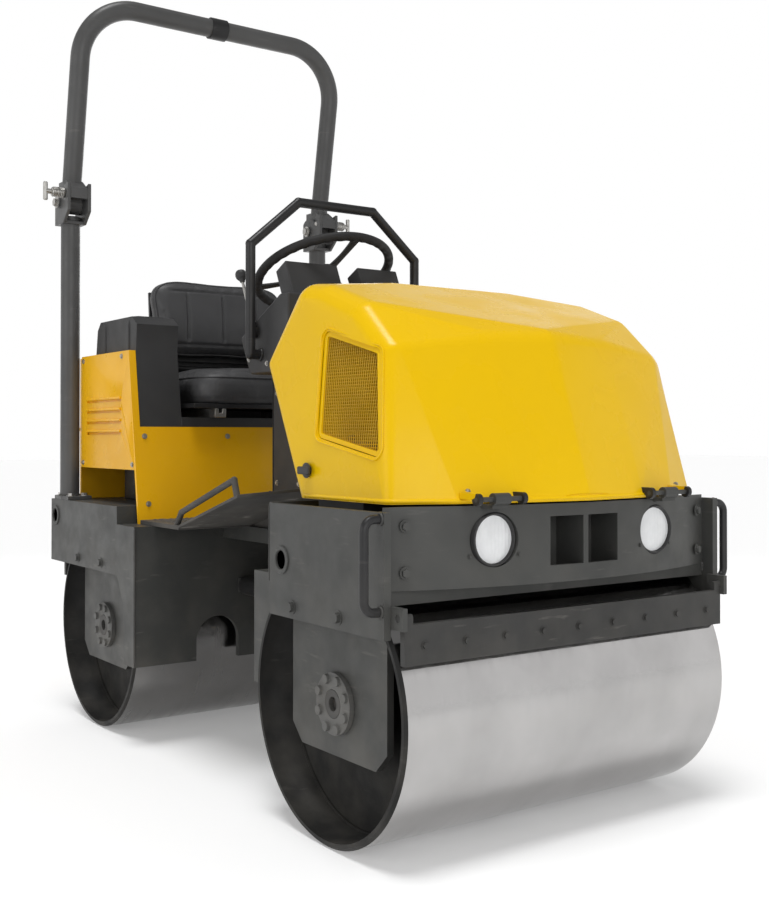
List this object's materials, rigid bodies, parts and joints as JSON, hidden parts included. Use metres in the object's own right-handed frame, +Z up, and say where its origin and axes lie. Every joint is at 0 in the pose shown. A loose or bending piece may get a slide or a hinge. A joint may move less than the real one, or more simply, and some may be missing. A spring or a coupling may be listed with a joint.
{
  "type": "tandem roller",
  "caption": "Ride-on tandem roller with an articulated frame, smooth steel drums, a tilting hood, a seat, a steering console and a folding roll bar.",
  "frame": {"origin": "on the ground midway between the axles, which is the centre of the machine's footprint", "axes": "+X forward, +Y to the operator's left, +Z up"},
  "size_m": [1.924, 1.1, 2.205],
  "materials": {
    "frame_grey": "satin dark grey paint, dusty in the corners",
    "rops_grey": "satin dark grey paint",
    "yellow_steel": "gloss yellow paint",
    "hood_yellow": "gloss yellow gel coat",
    "floor_paint": "dark paint with a tread pattern",
    "black_paint": "semi-gloss black paint",
    "black_plastic": "grained black plastic",
    "black_rubber": "soft grained rubber",
    "seat_vinyl": "black grained vinyl with sewn channels",
    "drum_steel": "rolled steel, polished round the drum by use",
    "zinc_steel": "zinc plated",
    "chrome_rod": "polished chrome",
    "dark_iron": "painted casting",
    "cooler_alloy": "matt black cooler core",
    "lamp_glass": "frosted ribbed lens",
    "red_plastic": "glossy red plastic",
    "red_lens": "red ribbed lens"
  },
  "bodies": {
    "rear": {"rear_frame": "frame_grey", "rear_body": "yellow_steel", "water_tank": "black_plastic", "hydraulic_tank": "black_paint", "platform_floor": "floor_paint", "steering_console": "black_plastic", "instrument_panel": "black_plastic", "console_guard": "black_paint", "steering_column": "black_plastic", "seat_rails": "zinc_steel", "rops_posts": "rops_grey", "rear_lights": "red_lens", "rear_spray_bar": "black_plastic", "rear_bearing_housing": "dark_iron", "rear_drive_motor": "dark_iron", "steer_cylinder": "black_paint", "articulation_pin": "zinc_steel"},
    "yoke": {"articulation_yoke": "dark_iron"},
    "front": {"front_frame": "frame_grey", "front_bumper": "frame_grey", "tie_down_loops": "black_paint", "headlight_housings": "black_plastic", "headlight_lenses": "lamp_glass", "engine_block": "dark_iron", "cooler": "cooler_alloy", "muffler": "zinc_steel", "air_filter": "black_plastic", "hydraulic_pump": "dark_iron", "fuel_tank": "black_plastic", "battery": "black_plastic", "front_bearing_housing": "dark_iron", "front_drive_motor": "dark_iron", "exciter_motor": "dark_iron", "front_spray_bar": "black_plastic"},
    "hood": {"hood": "hood_yellow", "hood_grilles": "black_plastic"},
    "latch": {"hood_latch": "black_plastic"},
    "front_drum": {"front_drum": "drum_steel", "front_drum_hubs": "dark_iron"},
    "exciter": {"exciter_shaft": "dark_iron"},
    "rear_drum": {"rear_drum": "drum_steel", "rear_drum_hubs": "dark_iron"},
    "seat": {"seat_pan": "black_paint", "seat_cushion": "seat_vinyl"},
    "seat_back": {"seat_back_frame": "black_paint", "seat_back_cushion": "seat_vinyl"},
    "roll_hoop": {"rops_hoop": "rops_grey", "beacon_socket": "black_paint"},
    "lock_pin_right": {"rops_lock_pin_right": "zinc_steel"},
    "lock_pin_left": {"rops_lock_pin_left": "zinc_steel"},
    "tank_cap": {"tank_cap": "black_plastic"},
    "steering_wheel": {"steering_wheel": "black_rubber"},
    "travel_lever": {"travel_lever": "black_plastic"},
    "throttle_lever": {"throttle_lever": "black_plastic"},
    "ignition_key": {"ignition_key": "zinc_steel"},
    "emergency_stop": {"emergency_stop": "red_plastic"},
    "vibration_button": {"vibration_button": "black_plastic"},
    "front_scraper": {"front_scraper": "frame_grey"},
    "rear_scraper": {"rear_scraper": "frame_grey"},
    "steer_rod": {"steer_rod": "chrome_rod"}
  },
  "joints": [
    {"name": "steer", "type": "hinge", "parent": "rear", "child": "yoke", "pos_m": [0, 0, 0.39], "axis": [0, 0, 1], "range_deg": [-30, 30]},
    {"name": "rock", "type": "hinge", "parent": "yoke", "child": "front", "pos_m": [0.24, 0, 0.39], "axis": [1, 0, 0], "range_deg": [-8, 8]},
    {"name": "hood_open", "type": "hinge", "parent": "front", "child": "hood", "pos_m": [0.95, 0, 0.722], "axis": [0, 1, 0], "range_deg": [0, 60]},
    {"name": "hood_latch_turn", "type": "hinge", "parent": "hood", "child": "latch", "pos_m": [0.545, -0.434, 0.772], "axis": [0, 1, 0], "range_deg": [0, 90]},
    {"name": "front_drum_spin", "type": "hinge", "parent": "front", "child": "front_drum", "pos_m": [0.636, 0, 0.29], "axis": [0, 1, 0], "continuous": true},
    {"name": "exciter_spin", "type": "hinge", "parent": "front_drum", "child": "exciter", "pos_m": [0.636, 0, 0.29], "axis": [0, 1, 0], "continuous": true},
    {"name": "rear_drum_spin", "type": "hinge", "parent": "rear", "child": "rear_drum", "pos_m": [-0.636, 0, 0.29], "axis": [0, 1, 0], "continuous": true},
    {"name": "front_scraper_swing", "type": "hinge", "parent": "front", "child": "front_scraper", "pos_m": [0.912, 0, 0.503], "axis": [0, 1, 0], "range_deg": [-15, 0], "stiffness_Nm_per_rad": 20},
    {"name": "rear_scraper_swing", "type": "hinge", "parent": "rear", "child": "rear_scraper", "pos_m": [-0.912, 0, 0.503], "axis": [0, 1, 0], "range_deg": [0, 15], "stiffness_Nm_per_rad": 20},
    {"name": "steering_wheel_turn", "type": "hinge", "parent": "rear", "child": "steering_wheel", "pos_m": [-0.1, 0, 1.3], "axis": [-0.4226, 0, 0.9063], "range_deg": [-360, 360]},
    {"name": "steer_rod_slide", "type": "slide", "parent": "rear", "child": "steer_rod", "axis": [1, 0, 0], "range_m": [-0.0751, 0.0751]},
    {"name": "travel_lever_swing", "type": "hinge", "parent": "rear", "child": "travel_lever", "pos_m": [-0.06, -0.2405, 1.12], "axis": [0, 1, 0], "range_deg": [-18, 18]},
    {"name": "throttle_lever_swing", "type": "hinge", "parent": "rear", "child": "throttle_lever", "pos_m": [-0.06, 0.2405, 1.12], "axis": [0, 1, 0], "range_deg": [-40, 0]},
    {"name": "ignition_key_turn", "type": "hinge", "parent": "rear", "child": "ignition_key", "pos_m": [-0.04386, 0.115, 1.16067], "axis": [-0.4226, 0, 0.9063], "range_deg": [-90, 0]},
    {"name": "emergency_stop_press", "type": "slide", "parent": "rear", "child": "emergency_stop", "axis": [0.4226, 0, -0.9063], "range_m": [0, 0.004], "stiffness_N_per_m": 500},
    {"name": "vibration_button_press", "type": "slide", "parent": "rear", "child": "vibration_button", "axis": [0.4226, 0, -0.9063], "range_m": [0, 0.004], "stiffness_N_per_m": 500},
    {"name": "seat_slide", "type": "slide", "parent": "rear", "child": "seat", "axis": [1, 0, 0], "range_m": [0, 0.08]},
    {"name": "seat_recline", "type": "hinge", "parent": "seat", "child": "seat_back", "pos_m": [-0.772, 0, 1.062], "axis": [0, -1, 0], "range_deg": [0, 20]},
    {"name": "rops_fold", "type": "hinge", "parent": "rear", "child": "roll_hoop", "pos_m": [-0.874, 0, 1.567], "axis": [0, 1, 0], "range_deg": [-100, 0]},
    {"name": "lock_pin_right_pull", "type": "slide", "parent": "roll_hoop", "child": "lock_pin_right", "axis": [0, -1, 0], "range_m": [0, 0.04], "stiffness_N_per_m": 800},
    {"name": "lock_pin_left_pull", "type": "slide", "parent": "roll_hoop", "child": "lock_pin_left", "axis": [0, 1, 0], "range_m": [0, 0.04], "stiffness_N_per_m": 800},
    {"name": "tank_cap_turn", "type": "hinge", "parent": "rear", "child": "tank_cap", "pos_m": [-0.61, 0.336, 1.2], "axis": [0, 0, 1], "range_deg": [0, 90]}
  ],
  "couplings": [
    {"joint": "steering_wheel_turn", "follows": "steer", "ratio": 12},
    {"joint": "steer_rod_slide", "follows": "steer", "m_per_rad": 0.14324}
  ]
}
